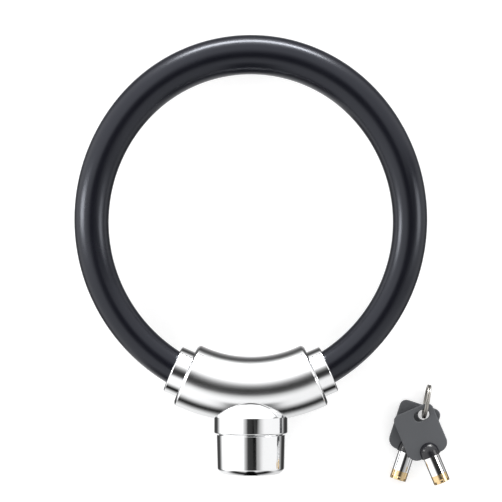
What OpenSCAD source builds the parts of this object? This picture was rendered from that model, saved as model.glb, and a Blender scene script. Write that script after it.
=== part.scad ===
// Mini ring cable lock: a stiff ring of jacketed steel rope whose ends enter a chromed head, with a
// tubular key cylinder under the head and two keys on a split ring.
// The ring lies level in the XY plane about the origin, with its crown toward +Y. Millimetres.

/* [Cable] */
// Radius of the cable's centreline round the crown
crown_r = 68.2; // [64:0.1:72]
// Radius of the cable's centreline down each side
side_r = 75.6; // [72:0.1:80]
// Angle that the crown arc takes to each side of its middle
crown_half = 48.4; // [44:0.1:52]
// Height of the crown arc's centre above the ring's origin
crown_rise = 5.4; // [3:0.1:8]
// Diameter of the jacket at the crown, where it is fullest
jacket_crown_d = 17.4; // [15:0.1:18]
// Diameter of the jacket where it enters the ferrules
jacket_end_d = 14.7; // [13.5:0.1:16]
// Diameter of the steel rope inside the jacket
core_d = 6; // [4:0.1:7]
// Gap between two neighbouring stretches of the cable
stretch_gap = 0.5; // [0.3:0.1:1]
// Slack between the steel rope and the jacket's bore
core_slack = 0.25; // [0.2:0.05:0.5]

/* [Ferrules] */
// Diameter of each ferrule
ferrule_d = 21.3; // [20:0.1:22.5]
// Length of a ferrule outside the head
ferrule_out = 6.3; // [5:0.1:9]
// Length of a ferrule inside the head
ferrule_in = 4; // [3:0.1:5]
// Thickness of a ferrule's back wall, where the stud goes through
ferrule_back = 2.5; // [1.5:0.1:3]
// Bevel round a ferrule's mouth
ferrule_bevel = 0.5; // [0.2:0.1:1]
// Slack between the jacket and a ferrule's bore
jacket_slack = 0.2; // [0.15:0.05:0.4]

/* [Head] */
// Slope of the two sockets, which are square to the cable's ends
socket_tilt = 23.5; // [22:0.5:25]
// Radius of the head tube's curved centreline
head_r = 65; // [60:0.5:70]
// Diameter of the head tube
head_d = 28.8; // [27.5:0.1:30]
// Straight length at each end of the head tube
head_straight = 3; // [2:0.1:4]
// Rounding of the head tube's end edges
head_round = 1.2; // [0.5:0.1:2]
// Diameter of the boss under the head
boss_d = 32.6; // [32:0.1:34]
// Drop from the head tube's centreline to the boss's shoulder
shoulder_drop = 12; // [11:0.1:13]
// Length of the boss below its shoulder
boss_len = 7.3; // [6.8:0.1:9]
// Radius of the dome over the boss's shoulder
dome_r = 16.9; // [16.7:0.1:19]
// Bevel under the boss
boss_bevel = 1; // [0.3:0.1:1.2]

/* [Studs] */
// Diameter of the studs that enter the head
stud_d = 10; // [9:0.1:10.5]
// Length of the fixed stud beyond its ferrule
fixed_stud_len = 12; // [11:0.5:14]
// Depth of the hole that grips the steel rope in a stud
grip_depth = 7; // [5:0.5:8]
// Diameter of the cross pin through the fixed stud
stud_pin_d = 3; // [2:0.1:3.5]
// Distance of that cross pin from the stud's ferrule
stud_pin_offset = 6.5; // [5:0.5:8]
// Depth of the locking groove round the free stud
groove_depth = 1.95; // [1.9:0.05:2.2]
// Length of the free stud beyond its locking groove
tip_len = 3.4; // [3:0.1:4]
// Diameter of the free stud's blunt tip
tip_d = 6; // [4:0.5:7]

/* [Locking bolt] */
// Travel of the bolt between locked and unlocked
bolt_travel = 1.9; // [1.5:0.1:1.9]
// Thickness of the bolt's plate
plate_t = 2.8; // [2:0.1:3]
// Distance of the plate's middle from the barrel's axis, along the socket
plate_offset = 6.6; // [6:0.1:7]
// Width of the plate
plate_w = 14.5; // [14.2:0.1:15]
// Height of the plate above the socket's axis
plate_high = 7.5; // [7:0.1:8]
// Drop from the head tube's centreline to the top of the bolt's foot
foot_drop = 9.2; // [9.1:0.1:9.6]
// Thickness of the foot
foot_t = 2.8; // [2.4:0.1:3.2]
// Width of the foot
foot_w = 10; // [9:0.1:11]
// Length of the foot behind the barrel's axis
foot_back = 3.6; // [3.4:0.1:5]

/* [Lock barrel] */
// Length of the neck between the boss and the barrel
neck_len = 0.5; // [0.4:0.1:1.4]
// Diameter of that neck
neck_d = 28.6; // [28:0.1:29.4]
// Diameter of the barrel at its top
barrel_top_d = 30.3; // [30:0.1:31]
// Diameter of the barrel at its foot
barrel_foot_d = 29.6; // [29:0.1:30]
// Length of the barrel
barrel_len = 17.2; // [16:0.1:20]
// Rounding of the barrel's lower edge
barrel_round = 2.4; // [1:0.1:3]
// Diameter of the spigot that enters the boss
spigot_d = 26; // [25:0.1:27]
// Thickness of the barrel's end wall
end_wall = 2; // [1.5:0.1:3]
// Diameter of the pin that holds the barrel in the boss
barrel_pin_d = 3; // [2:0.1:3]
// Depth of that pin in the spigot
barrel_pin_depth = 2.5; // [2:0.1:3]

/* [Key cylinder] */
// Diameter of the pin housing
housing_d = 18; // [17:0.1:19]
// Diameter of the rotor
rotor_d = 12; // [11:0.1:13]
// Length of the rotor from its front to the shear plane
rotor_len = 11.5; // [11:0.1:12.5]
// Depth of the ring-shaped keyway
keyway_depth = 6; // [5:0.1:7]
// Length of the post beyond the rotor's front
post_out = 1.4; // [1:0.1:1.8]
// Number of places round the rotor, of which the one over the nib stays empty
pin_places = 8; // [6:1:8]
// Diameter of the pins
pin_d = 1.2; // [1:0.05:1.2]
// Travel of the key pins when a key pushes them in
pin_travel = 1.2; // [0.8:0.1:1.6]
// Length that the key pins stand in the keyway
pin_out = 1; // [0.5:0.1:1.5]
// Length of the driver pins
driver_len = 3; // [2:0.1:4]
// Diameter of the rotor's spindle
spindle_d = 4.4; // [4:0.1:4.6]
// Thickness of the cover behind the driver springs
cover_t = 1.2; // [1:0.1:1.6]
// Diameter of the crank disc
crank_d = 9.6; // [8:0.1:12]
// Thickness of the crank disc
crank_t = 2.4; // [2.2:0.1:3]
// Diameter of the crank's drive pin
drive_pin_d = 2.4; // [2:0.1:2.8]
// Diameter of the cross pin through the crank
crank_pin_d = 1.2; // [1:0.1:1.4]

/* [Keys] */
// Outer diameter of a key's tube
key_d = 7.4; // [7.2:0.1:7.6]
// Bore of a key's tube
key_bore = 5.6; // [5.4:0.1:5.8]
// Distance from the bow's hole to the tip of the tube
key_reach = 32; // [29:0.1:34]
// Thickness of a bow's plate
bow_t = 2.4; // [2:0.1:2.8]
// Radius of the boss that holds the tube in a bow
bow_boss_r = 4.4; // [4.2:0.1:4.7]
// Distance from the bow's hole to the top of that boss
bow_boss_top = 13; // [12:0.1:14]
// Width of a bow's plate
bow_w = 18.6; // [17:0.1:20]
// Length of a bow's plate
bow_len = 22.2; // [21.6:0.1:24]
// Rounding of a bow's two upper corners
bow_round = 3; // [1:0.1:3.2]
// Rounding of a bow's two lower corners
bow_foot_round = 4.4; // [2:0.1:4.8]
// Width of the slot that the key ring goes through
ring_slot_w = 4.4; // [4.2:0.1:5]
// Length of that slot
ring_slot_len = 7.2; // [6.6:0.1:8]
// Swing of the upper key from straight down
upper_turn = 23; // [15:1:30]
// Swing of the lower key from straight down
lower_turn = -18; // [-30:1:-15]
// Height between the two keys' plates
key_lift = 5.85; // [5.8:0.05:6.2]
// Outer diameter of the key ring
key_ring_d = 15.2; // [14.6:0.1:15.6]
// Thickness of the key ring across its radius
key_ring_t = 1.5; // [1.2:0.1:1.6]
// Width of the key ring, which is two turns of wire
key_ring_w = 2; // [1.6:0.1:2.2]
// Lean of the key ring from the direction of the crown
key_ring_lean = 10; // [5:1:20]

/* [Clearances] */
// Radial clearance of a stud in its socket
stud_fit = 0.05; // [0.02:0.01:0.1]
// Radial clearance of a ferrule in the head
ferrule_fit = 0.1; // [0.05:0.01:0.15]
// Radial clearance of a turning piece
turn_fit = 0.05; // [0.02:0.01:0.1]
// Clearance on each side of the sliding bolt
bolt_fit = 0.15; // [0.1:0.01:0.2]
// Gap between faces that pass one another
face_gap = 0.15; // [0.1:0.01:0.2]

/* [Hidden] */
$fn = 64;

// ---- The ring's line: two side arcs and a crown arc, found by the angle of the outward normal.
cable_sides = 24;
station_step = 5;
jacket_taper = 1.6;
jacket_taper_reach = 150;
crown_c = [0, crown_rise];
side_c = crown_c + (crown_r - side_r) * [sin(crown_half), cos(crown_half)];
crown_lo = 90 - crown_half;
crown_hi = 90 + crown_half;

function on_crown(a) = a > crown_lo && a < crown_hi;
function arc_centre(a) = on_crown(a) ? crown_c : a > 90 ? [-side_c.x, side_c.y] : side_c;
function arc_r(a) = on_crown(a) ? crown_r : side_r;
function ring_point(a, out = 0) = arc_centre(a) + (arc_r(a) + out) * [cos(a), sin(a)];
function fullness(a) = (1 + cos(180 * min(1, abs(a - 90) / jacket_taper_reach))) / 2;
function jacket_r(a) = (jacket_end_d + (jacket_crown_d - jacket_end_d) * pow(fullness(a), jacket_taper)) / 2;

// ---- The two sockets lie on the tangents that end the side arcs. A distance along a socket counts
// outward from the point where the cable's line runs into it.
socket_o = side_c + side_r * [sin(socket_tilt), -cos(socket_tilt)];
socket_end_a = socket_tilt - 90;
axis_s = -socket_o.x / cos(socket_tilt);
socket_axis_y = socket_o.y - socket_o.x * tan(socket_tilt);
head_c_y = socket_axis_y + head_r / cos(socket_tilt);
head_y = head_c_y - head_r;
end_swell = 0.05;
head_arc_end = [head_r * sin(socket_tilt), head_c_y - head_r * cos(socket_tilt)];
arc_end_s = (head_arc_end - socket_o) * [cos(socket_tilt), sin(socket_tilt)];
head_end_s = arc_end_s + head_straight;
mouth_s = head_end_s + ferrule_out;
ferrule_s = head_end_s - ferrule_in + face_gap / 2;
stud_back_s = ferrule_s + ferrule_back;
jacket_end_s = stud_back_s + 3 * face_gap;
jacket_end_a = socket_end_a + jacket_end_s / side_r * 180 / PI;
rope_end_s = stud_back_s - grip_depth + face_gap;
plate_s = axis_s + plate_offset;
groove_w = plate_t + 2 * face_gap;
groove_d = stud_d - 2 * groove_depth;
stud_tip_s = plate_s - groove_w / 2 - tip_len;
stud_pin_s = ferrule_s - stud_pin_offset;
stud_pin_reach = stud_d / 2 + 1.5;
stud_pin_back = head_d / 2 - 1.6;
stud_lead = tip_len - 1;
ferrule_bore_s = 1.3 * mouth_s;

// ---- Levels down the barrel's axis, from the bolt's foot to the barrel's face.
shoulder_y = head_y - shoulder_drop;
boss_y = shoulder_y - boss_len;
barrel_y = boss_y - neck_len;
face_y = barrel_y - barrel_len;
foot_top_y = head_y - foot_drop;
foot_y = foot_top_y - foot_t;
crank_top_y = foot_y - 2 * face_gap;
crank_y = crank_top_y - crank_t;
cover_top_y = crank_y - 2 * face_gap;
cover_y = cover_top_y - cover_t;
spigot_top_y = cover_top_y;
boss_bore_y = spigot_top_y + 2 * face_gap;
rotor_front_y = face_y + end_wall + face_gap;
shear_y = rotor_front_y + rotor_len;
keyway_y = rotor_front_y + keyway_depth;
pin_bank_y = shear_y + face_gap;
barrel_pin_y = (boss_y + spigot_top_y) / 2;
boss_bore_d = spigot_d + 2 * turn_fit;
crank_pocket_d = boss_bore_d - 2;
barrel_pin_sink = 0.4;
pin_bevel = 0.3;
pin_drill = pin_d / 2 + turn_fit;
spring_d = pin_d - 0.1;
spring_bore = pin_d - 0.5;
crank_pin_len = crank_d - 0.6;
cut = 1;

// ---- The bolt, seen along the socket: its plate hangs from the stud and its foot meets the crank.
plate_hole_d = stud_d + 4 * face_gap;
foot_mid_y = foot_top_y - foot_t / 2;
plate_low = (socket_o.y + plate_s * sin(socket_tilt) - foot_mid_y) / cos(socket_tilt);
foot_front = socket_o.x + (plate_s + plate_t / 2) * cos(socket_tilt) + plate_low * sin(socket_tilt);
crank_throw = bolt_travel / sqrt(2);

// ---- The key's fit in the cylinder.
keyway_d = key_d + 4 * face_gap;
post_d = key_bore - 2 * face_gap;
pin_circle_r = (key_d + key_bore) / 4;
nib_w = 1.4;
nib_h = 0.9;
nib_len = 1.6;
key_bitting = [1.2, 0.5, 1.8, 0.9, 1.5, 0.6, 1.1];

// ---- The resting plane, and the keys that lie on it.
floor_z = -boss_d / 2;
lower_key_z = floor_z + bow_boss_r;
upper_key_z = lower_key_z + key_lift;
key_ring_r = (key_ring_d - key_ring_t) / 2;
key_ring_z = floor_z + key_ring_d / 2;
ring_foot = [76.85, -85.5];
upper_slot = ring_foot + [-1.3, 0];
lower_slot = ring_foot + [1, -0.5];
bow_hole = [3.2, -1.2];
bow_top = 3;
bow_foot = bow_top - bow_len;
bow_corners = [[-bow_w / 2, bow_top], [bow_w / 2, bow_top], [bow_w / 2, bow_foot], [-bow_w / 2, bow_foot]];
bow_rounds = [bow_round, bow_round, bow_foot_round, bow_foot_round];
tang_w = 5;
tang_t = 1.2;
tang_top = -6;
tube_top = -(bow_boss_top + 2.5);
tang_root = 0.5;
boss_proud = 0.4;
bitting_d = pin_d + 0.2;
ring_play = 0.8;
ring_split = 0.4;
ring_split_turn = 20;

// ---- Where the cable bends when the free end is pulled out. The near bends pivot on the cable's inner
// side and the far bends on its outer side, so that every bend only opens its own gap. The last pivot
// mirrors the first about the middle of the far pair, which keeps the free stud's pull dead straight.
bend_a = [207, 150.5, 79.5, 19.5];
socket_u = [cos(socket_tilt), sin(socket_tilt)];
socket_n = [-sin(socket_tilt), cos(socket_tilt)];
pivot_off = 0.15;
bend_1 = ring_point(bend_a[0], -jacket_r(bend_a[0]) - pivot_off);
bend_2 = ring_point(bend_a[1], jacket_r(bend_a[1]) + pivot_off);
bend_3 = ring_point(bend_a[2], jacket_r(bend_a[2]) + pivot_off);
bend_step = bend_2 - bend_1;
bend_4 = bend_3 + (bend_step * socket_u) * socket_u - (bend_step * socket_n) * socket_n;
stretch_from = [180 - jacket_end_a, bend_a[0], bend_a[1], bend_a[2], bend_a[3]];
stretch_to = [bend_a[0], bend_a[1], bend_a[2], bend_a[3], jacket_end_a];

module down(y) {
    // Turns a shape's +Z to run down the barrel, from height y
    translate([0, y, 0]) rotate([90, 0, 0]) children();
}

module in_socket(side) {
    // Turns a shape's +Z to run out of a socket: side 1 is the free one, side -1 the fixed one
    mirror([side < 0 ? 1 : 0, 0, 0])
        translate([socket_o.x, socket_o.y, 0])
            rotate([0, 0, socket_tilt])
                rotate([0, 90, 0])
                    children();
}

module tube_arc(centre, r, from, to, thick_r) {
    translate([centre.x, centre.y, 0])
        rotate([0, 0, from])
            rotate_extrude(angle = to - from)
                translate([r, 0]) circle(r = thick_r);
}

function stations(from, to) =
    // Places along the ring's line, as [point, normal angle]
    let (steps = ceil((to - from) / station_step))
    [for (i = [0:steps]) let (a = from + (to - from) * i / steps) [ring_point(a), a]];

function gap_angle(a) = stretch_gap / 2 / arc_r(a) * 180 / PI;

module sweep(at, outer_r, inner_r = 0) {
    // A bar, or a tube where inner_r is given, through the stations, with one outer radius for each
    n = len(at) - 1;
    walls = inner_r > 0 ? 2 : 1;
    points = [
        for (i = [0:n], w = [0:walls - 1], j = [0:cable_sides - 1])
            let (r = w == 0 ? outer_r[i] : inner_r, turn = 360 * j / cable_sides, a = at[i][1])
            [at[i][0].x + r * cos(turn) * cos(a), at[i][0].y + r * cos(turn) * sin(a), r * sin(turn)]
    ];
    function outer(i, j) = i * walls * cable_sides + j % cable_sides;
    function inner(i, j) = outer(i, j) + cable_sides;
    skin = [for (i = [0:n - 1], j = [0:cable_sides - 1]) each [
        [outer(i, j), outer(i, j + 1), outer(i + 1, j + 1)],
        [outer(i, j), outer(i + 1, j + 1), outer(i + 1, j)]
    ]];
    bore = [for (i = [0:n - 1], j = [0:cable_sides - 1]) each [
        [inner(i, j), inner(i + 1, j + 1), inner(i, j + 1)],
        [inner(i, j), inner(i + 1, j), inner(i + 1, j + 1)]
    ]];
    rings = [for (j = [0:cable_sides - 1]) each [
        [outer(0, j), inner(0, j + 1), outer(0, j + 1)],
        [outer(0, j), inner(0, j), inner(0, j + 1)],
        [outer(n, j), outer(n, j + 1), inner(n, j + 1)],
        [outer(n, j), inner(n, j + 1), inner(n, j)]
    ]];
    discs = [
        [for (j = [cable_sides - 1:-1:0]) outer(0, j)],
        [for (j = [0:cable_sides - 1]) outer(n, j)]
    ];
    polyhedron(points, walls == 2 ? concat(skin, bore, rings) : concat(skin, discs), convexity = 6);
}

module jacket(i) {
    // One stretch of the jacket, which swells toward the crown
    from = stretch_to[i] + (i < 4 ? gap_angle(stretch_to[i]) : 0);
    to = stretch_from[i] - (i > 0 ? gap_angle(stretch_from[i]) : 0);
    at = stations(from, to);
    color([0.12, 0.12, 0.15])
        sweep(at, [for (p = at) jacket_r(p[1])], (core_d / 2 + core_slack) / cos(180 / cable_sides));
}

module rope(i) {
    // One stretch of the steel rope; the outer two run straight on into the studs
    tail = socket_o + rope_end_s * socket_u;
    from = i < 4 ? stretch_to[i] + gap_angle(stretch_to[i]) : socket_end_a;
    to = i > 0 ? stretch_from[i] - gap_angle(stretch_from[i]) : 180 - socket_end_a;
    at = concat(
        i == 4 ? [[tail, socket_end_a]] : [],
        stations(from, to),
        i == 0 ? [[[-tail.x, tail.y], 180 - socket_end_a]] : []
    );
    color([0.55, 0.57, 0.6]) sweep(at, [for (p = at) core_d / 2]);
}

module rounded_post(r, h, round) {
    // A cylinder whose far edge is rounded
    rotate_extrude() {
        square([r, h - round]);
        square([r - round, h]);
        translate([r - round, h - round]) circle(r = round);
    }
}

module bevelled_post(r, h, bevel) {
    // A cylinder whose far edge is bevelled
    rotate_extrude()
        polygon([[0, 0], [r, 0], [r, h - bevel], [r - bevel, h], [0, h]]);
}

module ferrule(side) {
    color([0.82, 0.83, 0.85]) difference() {
        in_socket(side)
            translate([0, 0, ferrule_s])
                bevelled_post(ferrule_d / 2, mouth_s - ferrule_s, ferrule_bevel);
        in_socket(side)
            translate([0, 0, ferrule_s - cut])
                cylinder(d = stud_d, h = ferrule_back + 2 * cut);
        mirror([side < 0 ? 1 : 0, 0, 0])
            tube_arc(side_c, side_r, socket_end_a + stud_back_s / side_r * 180 / PI,
                socket_end_a + ferrule_bore_s / side_r * 180 / PI, jacket_end_d / 2 + jacket_slack);
    }
}

module rope_grip() {
    // The hole in the back of a stud that the steel rope is crimped into
    translate([0, 0, stud_back_s - grip_depth])
        cylinder(r = core_d / 2 + face_gap, h = grip_depth + cut);
}

module fixed_stud() {
    color([0.7, 0.71, 0.73]) in_socket(-1) difference() {
        translate([0, 0, ferrule_s - fixed_stud_len])
            cylinder(d = stud_d, h = stud_back_s - ferrule_s + fixed_stud_len);
        rope_grip();
        translate([-stud_d, 0, stud_pin_s]) rotate([0, 90, 0]) cylinder(d = stud_pin_d, h = 2 * stud_d);
    }
}

module fixed_stud_pin() {
    // Driven in from the back of the head and stopped short of its front
    color([0.6, 0.61, 0.63]) in_socket(-1)
        translate([-stud_pin_reach, 0, stud_pin_s])
            rotate([0, 90, 0]) cylinder(d = stud_pin_d, h = stud_pin_reach + stud_pin_back);
}

module free_stud() {
    reach = stud_back_s - stud_tip_s;
    groove = plate_s - stud_tip_s;
    color([0.7, 0.71, 0.73]) in_socket(1) difference() {
        translate([0, 0, stud_tip_s])
            rotate_extrude()
                polygon([
                    [0, 0], [tip_d / 2, 0], [stud_d / 2, stud_lead],
                    [stud_d / 2, groove - groove_w / 2], [groove_d / 2, groove - groove_w / 2],
                    [groove_d / 2, groove + groove_w / 2], [stud_d / 2, groove + groove_w / 2],
                    [stud_d / 2, reach], [0, reach]
                ]);
        rope_grip();
    }
}

module head_tube_end(side) {
    in_socket(side)
        translate([0, 0, arc_end_s - 1])
            rounded_post(head_d / 2 + end_swell, head_straight + 1, head_round);
}

module head() {
    color([0.85, 0.86, 0.88]) difference() {
        union() {
            tube_arc([0, head_c_y], head_r, 270 - socket_tilt, 270 + socket_tilt, head_d / 2);
            head_tube_end(1);
            head_tube_end(-1);
            down(shoulder_y) boss();
        }
        for (side = [-1, 1]) in_socket(side)
            translate([0, 0, head_end_s - ferrule_in])
                cylinder(r = ferrule_d / 2 + ferrule_fit, h = ferrule_in + cut);
        in_socket(1)
            translate([0, 0, stud_tip_s - 4 * face_gap])
                cylinder(r = stud_d / 2 + stud_fit, h = head_end_s - stud_tip_s);
        in_socket(-1)
            translate([0, 0, ferrule_s - fixed_stud_len - face_gap])
                cylinder(r = stud_d / 2 + stud_fit, h = head_end_s - ferrule_s + fixed_stud_len);
        in_socket(-1)
            translate([-stud_pin_reach - face_gap, 0, stud_pin_s])
                rotate([0, 90, 0]) cylinder(d = stud_pin_d, h = head_d);
        bolt_pocket();
        down(foot_top_y + bolt_fit) cylinder(d = crank_pocket_d, h = foot_top_y - boss_bore_y + cut);
        down(boss_bore_y) cylinder(d = boss_bore_d, h = boss_bore_y - boss_y + cut);
        translate([0, barrel_pin_y, -boss_d]) cylinder(d = barrel_pin_d, h = boss_d);
    }
}

module boss() {
    // The round boss below the shoulder, with its dome above
    dome_drop = sqrt(dome_r * dome_r - boss_d * boss_d / 4);
    rotate_extrude() {
        polygon([[0, 0], [boss_d / 2, 0], [boss_d / 2, boss_len - boss_bevel],
            [boss_d / 2 - boss_bevel, boss_len], [0, boss_len]]);
        intersection() {
            translate([0, dome_drop]) circle(r = dome_r);
            translate([0, -dome_r]) square([boss_d / 2, dome_r + boss_len / 2]);
        }
    }
}

module bolt_pocket() {
    // The slot that guides the bolt's plate across the socket
    half = plate_w / 2 + bolt_travel / 2 + bolt_fit;
    in_socket(1)
        translate([-half, -plate_low - foot_t, plate_s - plate_t / 2 - bolt_fit])
            cube([2 * half, plate_low + foot_t + plate_high + bolt_fit, plate_t + 2 * bolt_fit]);
}

module locking_bolt() {
    // Drawn unlocked: its hole is round the stud, and its body is half its travel toward -Z
    color([0.66, 0.62, 0.5]) difference() {
        translate([0, 0, -bolt_travel / 2]) union() {
            in_socket(1)
                translate([-plate_w / 2, -plate_low, plate_s - plate_t / 2])
                    cube([plate_w, plate_low + plate_high, plate_t]);
            translate([-foot_back, foot_y, -foot_w / 2])
                cube([foot_back + foot_front, foot_t, foot_w]);
        }
        in_socket(1)
            translate([0, 0, plate_s - plate_t]) cylinder(d = plate_hole_d, h = 2 * plate_t);
        drive_slot();
    }
}

module drive_slot() {
    // The crank's pin runs along this slot in the foot
    half = drive_pin_d / 2 + bolt_fit;
    slot_from = crank_throw / sqrt(2) - half - bolt_fit;
    slot_to = crank_throw + half + bolt_fit;
    translate([slot_from, foot_y - cut, -bolt_travel / 2 - half])
        cube([slot_to - slot_from, foot_t + 2 * cut, 2 * half]);
}

module lock_barrel() {
    slope_h = barrel_len - barrel_round;
    color([0.85, 0.86, 0.88]) difference() {
        union() {
            down(barrel_y) rotate_extrude() {
                polygon([[0, 0], [barrel_top_d / 2, 0], [barrel_foot_d / 2, slope_h],
                    [barrel_foot_d / 2 - barrel_round, barrel_len], [0, barrel_len]]);
                translate([barrel_foot_d / 2 - barrel_round, slope_h]) circle(r = barrel_round);
            }
            down(boss_y) cylinder(d = neck_d, h = neck_len + 1);
            down(spigot_top_y) cylinder(d = spigot_d, h = spigot_top_y - barrel_y);
        }
        down(spigot_top_y + cut)
            cylinder(r = housing_d / 2 + turn_fit, h = spigot_top_y + cut - face_y - end_wall);
        down(face_y + end_wall + cut) cylinder(d = keyway_d, h = end_wall + 2 * cut);
        nib_notch(face_y + end_wall + cut, end_wall + 2 * cut);
        translate([0, barrel_pin_y, -spigot_d / 2 - cut])
            cylinder(d = barrel_pin_d, h = barrel_pin_depth + cut);
    }
}

module nib_notch(top_y, depth) {
    // The slot beside the keyway that the key's nib slides in through
    half = nib_w / 2 + face_gap;
    translate([-half, top_y - depth, 0]) cube([2 * half, depth, keyway_d / 2 + nib_h]);
}

module barrel_pin() {
    reach = boss_d / 2 - barrel_pin_sink - (spigot_d / 2 - barrel_pin_depth);
    color([0.6, 0.61, 0.63])
        translate([0, barrel_pin_y, barrel_pin_sink - boss_d / 2]) cylinder(d = barrel_pin_d, h = reach);
}

module at_pins(y) {
    // The pin places run round the axis from the one beside the nib
    down(y)
        for (i = [1:pin_places - 1])
            rotate([0, 0, 90 + 360 * i / pin_places]) translate([pin_circle_r, 0, 0]) children();
}

module pin_housing() {
    color([0.72, 0.6, 0.35]) difference() {
        down(cover_y) cylinder(d = housing_d, h = cover_y - face_y - end_wall);
        down(shear_y + face_gap)
            cylinder(r = rotor_d / 2 + turn_fit, h = shear_y + face_gap - face_y - end_wall + cut);
        down(cover_y + cut) cylinder(r = spindle_d / 2 + turn_fit, h = cover_y - shear_y + 2 * cut);
        at_pins(cover_y + cut) cylinder(r = pin_drill, h = cover_y - shear_y + 2 * cut);
    }
}

module unlocked() {
    // Turns what is on the rotor from its locked place, with the nib's slot at +Z, to unlocked
    rotate([0, 90, 0]) children();
}

module rotor() {
    color([0.78, 0.66, 0.4]) unlocked() difference() {
        union() {
            down(shear_y) cylinder(d = rotor_d, h = rotor_len);
            down(keyway_y + cut) cylinder(d = post_d, h = keyway_depth + cut + post_out);
            down(crank_top_y - face_gap) cylinder(d = spindle_d, h = crank_top_y - shear_y);
        }
        down(keyway_y) difference() {
            cylinder(d = keyway_d, h = keyway_depth + cut);
            translate([0, 0, -cut]) cylinder(d = post_d, h = keyway_depth + 3 * cut);
        }
        nib_notch(rotor_front_y + keyway_depth, keyway_depth + cut);
        at_pins(shear_y + cut) cylinder(r = pin_drill, h = shear_y - keyway_y + 2 * cut);
        crank_pin_hole(crank_d);
    }
}

module key_pins() {
    reach = shear_y - pin_travel - face_gap - keyway_y + pin_out;
    color([0.8, 0.8, 0.82]) unlocked()
        at_pins(shear_y - pin_travel - face_gap) bevelled_post(pin_d / 2, reach, pin_bevel);
}

module driver_pins() {
    color([0.75, 0.76, 0.78]) at_pins(pin_bank_y + driver_len) cylinder(d = pin_d, h = driver_len);
}

module driver_springs() {
    // One thin-walled coil behind each driver pin, drawn as its outline
    reach = cover_y - face_gap - pin_bank_y - driver_len - face_gap;
    color([0.65, 0.66, 0.68]) at_pins(cover_y - face_gap) difference() {
        cylinder(d = spring_d, h = reach);
        translate([0, 0, -cut]) cylinder(d = spring_bore, h = reach + 2 * cut);
    }
}

module spring_cover() {
    color([0.7, 0.58, 0.34]) down(cover_top_y) difference() {
        cylinder(d = housing_d, h = cover_t);
        translate([0, 0, -cut]) cylinder(r = spindle_d / 2 + turn_fit, h = cover_t + 2 * cut);
    }
}

module crank_pin_hole(reach) {
    // Across the crank, clear of its drive pin
    translate([0, (crank_y + crank_top_y) / 2, 0])
        rotate([0, 45, 0])
            translate([-reach / 2, 0, 0]) rotate([0, 90, 0]) cylinder(d = crank_pin_d, h = reach);
}

module crank() {
    // A disc pressed on the spindle's end, with the pin that drives the bolt
    pin_at = crank_throw / sqrt(2);
    color([0.62, 0.63, 0.66]) unlocked() union() {
        difference() {
            down(crank_top_y) cylinder(d = crank_d, h = crank_t);
            down(crank_top_y - face_gap) cylinder(d = spindle_d, h = crank_t + cut);
            crank_pin_hole(crank_d + 2 * cut);
        }
        down(foot_top_y) translate([pin_at, pin_at, 0])
            cylinder(d = drive_pin_d, h = foot_top_y - crank_top_y + face_gap);
    }
}

module crank_pin() {
    color([0.55, 0.56, 0.58]) unlocked() crank_pin_hole(crank_pin_len);
}

function corner_arc(p, q, r, round, steps = 6) =
    // Points of a rounding at corner q, between its neighbours p and r
    let (
        u = (p - q) / norm(p - q), v = (r - q) / norm(r - q),
        half = acos(u * v) / 2,
        reach = round / tan(half),
        c = q + (u + v) / norm(u + v) * round / sin(half),
        from = atan2((q + u * reach - c).y, (q + u * reach - c).x),
        turn = ((atan2((q + v * reach - c).y, (q + v * reach - c).x) - from + 540) % 360) - 180
    )
    [for (i = [0:steps]) c + round * [cos(from + turn * i / steps), sin(from + turn * i / steps)]];

function rounded(pts, rounds) =
    let (n = len(pts))
    [for (i = [0:n - 1]) each corner_arc(pts[(i + n - 1) % n], pts[i], pts[(i + 1) % n], rounds[i])];

module place_key(slot_at, turn, z) {
    // Hangs a key by its slot on the key ring
    translate([slot_at.x, slot_at.y, z])
        rotate([0, 0, turn])
            translate([-bow_hole.x, -bow_hole.y, 0])
                children();
}

module key_tube() {
    // The tube with its nib and bitting, and the tongue that the bow is moulded on
    difference() {
        translate([0, tube_top, 0]) rotate([90, 0, 0]) cylinder(d = key_d, h = key_reach + tube_top);
        translate([0, bow_foot, 0])
            rotate([90, 0, 0]) cylinder(d = key_bore, h = key_reach + bow_foot + cut);
        for (i = [0:len(key_bitting) - 1])
            translate([0, -key_reach + key_bitting[i], 0])
                rotate([90, 0, 0])
                    rotate([0, 0, 90 + 360 * (i + 1) / pin_places])
                        translate([key_d / 2, 0, 0]) cylinder(d = bitting_d, h = key_bitting[i] + cut);
    }
    translate([-nib_w / 2, -key_reach, 0])
        difference() {
            cube([nib_w, nib_len, key_d / 2 + nib_h - face_gap]);
            translate([-cut, -cut, -cut])
                cube([nib_w + 2 * cut, nib_len + 2 * cut, pin_circle_r + cut]);
        }
    translate([-tang_w / 2, tube_top - tang_root, -tang_t / 2])
        cube([tang_w, tang_top - tube_top + tang_root, tang_t]);
}

module key_bow() {
    slot = ring_slot_len - ring_slot_w;
    difference() {
        union() {
            translate([0, 0, -bow_t / 2]) linear_extrude(bow_t) polygon(rounded(bow_corners, bow_rounds));
            translate([0, -bow_boss_top - bow_boss_r, 0]) {
                sphere(r = bow_boss_r);
                rotate([90, 0, 0])
                    cylinder(r = bow_boss_r, h = boss_proud - bow_foot - bow_boss_top - bow_boss_r);
            }
        }
        translate([0, tube_top, 0]) rotate([90, 0, 0]) cylinder(d = key_d, h = key_reach);
        translate([-tang_w / 2, tube_top - cut, -tang_t / 2])
            cube([tang_w, tang_top - tube_top + cut, tang_t]);
        translate([bow_hole.x, bow_hole.y, -bow_t]) {
            for (x = [-slot / 2, slot / 2]) translate([x, 0, 0]) cylinder(d = ring_slot_w, h = 2 * bow_t);
            translate([-slot / 2, -ring_slot_w / 2, 0]) cube([slot, ring_slot_w, 2 * bow_t]);
        }
    }
}

module upper_key_tube() {
    color([0.8, 0.8, 0.8]) place_key(upper_slot, upper_turn, upper_key_z) key_tube();
}

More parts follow.
